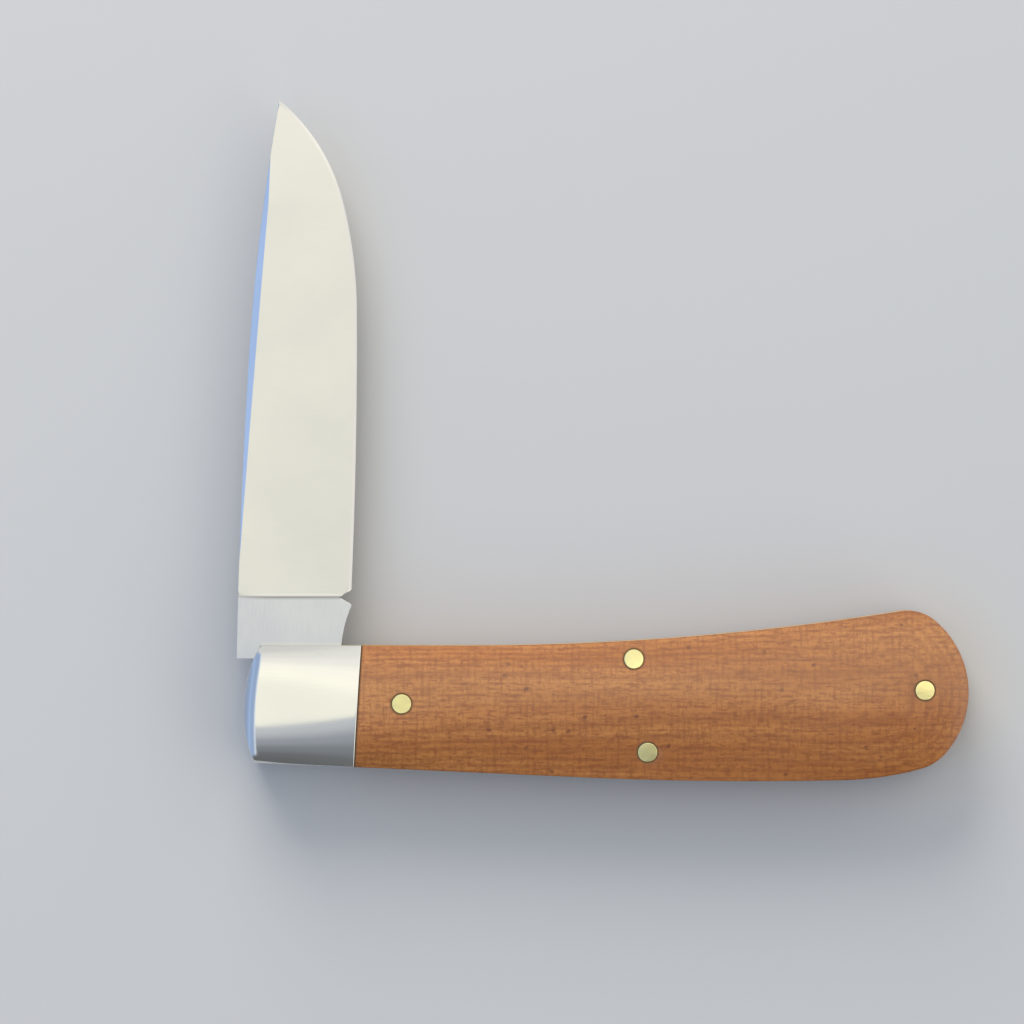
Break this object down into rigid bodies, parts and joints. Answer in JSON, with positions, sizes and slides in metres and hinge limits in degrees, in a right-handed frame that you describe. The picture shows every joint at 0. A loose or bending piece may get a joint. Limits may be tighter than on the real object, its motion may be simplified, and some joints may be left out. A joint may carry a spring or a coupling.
{
  "type": "folding pocket knife",
  "caption": "Slipjoint folding pocket knife: a pointed flat-ground blade pivots between metal bolsters and folds into a handle with pinned resin-cloth covers over brass liners.",
  "frame": {"origin": "on the blade pivot axis, in the plane of the flat of the rear cover and rear bolster on which the knife rests", "axes": "+X from the pivot towards the butt of the handle, +Y from the pivot towards the tip of the blade at the half stop, +Z from the rear cover to the front cover"},
  "size_m": [0.0898, 0.0836, 0.011],
  "materials": {
    "blade_steel": "fine satin polish, bright edge bevel",
    "spring_steel": "satin",
    "bolster_metal": "bright polish with fine scratches",
    "liner_brass": "satin",
    "pin_brass": "ground flush, polished",
    "cover_laminate": "woven resin laminate, fine weave with long streaks, satin"
  },
  "bodies": {
    "handle": {"front_liner": "liner_brass", "front_bolster": "bolster_metal", "front_cover": "cover_laminate", "rear_liner": "liner_brass", "rear_bolster": "bolster_metal", "rear_cover": "cover_laminate", "front_fore_pin": "pin_brass", "front_mouth_pin": "pin_brass", "rear_fore_pin": "pin_brass", "rear_mouth_pin": "pin_brass", "front_upper_bolster_rivet": "bolster_metal", "front_lower_bolster_rivet": "bolster_metal", "rear_upper_bolster_rivet": "bolster_metal", "rear_lower_bolster_rivet": "bolster_metal", "pivot_pin": "bolster_metal", "spring_pin": "pin_brass", "butt_pin": "pin_brass"},
    "blade": {"blade": "blade_steel"},
    "spring": {"backspring": "spring_steel"}
  },
  "joints": [
    {"name": "blade_pivot", "type": "hinge", "parent": "handle", "child": "blade", "pos_m": [0, 0, 0.0055], "axis": [0, 0, 1], "range_deg": [-86, 90]},
    {"name": "spring_flex", "type": "hinge", "parent": "handle", "child": "spring", "pos_m": [0.04264, -0.00637, 0.0055], "axis": [0, 0, 1], "range_deg": [0, 2], "stiffness_Nm_per_rad": 40, "deforming": ["backspring"]}
  ]
}
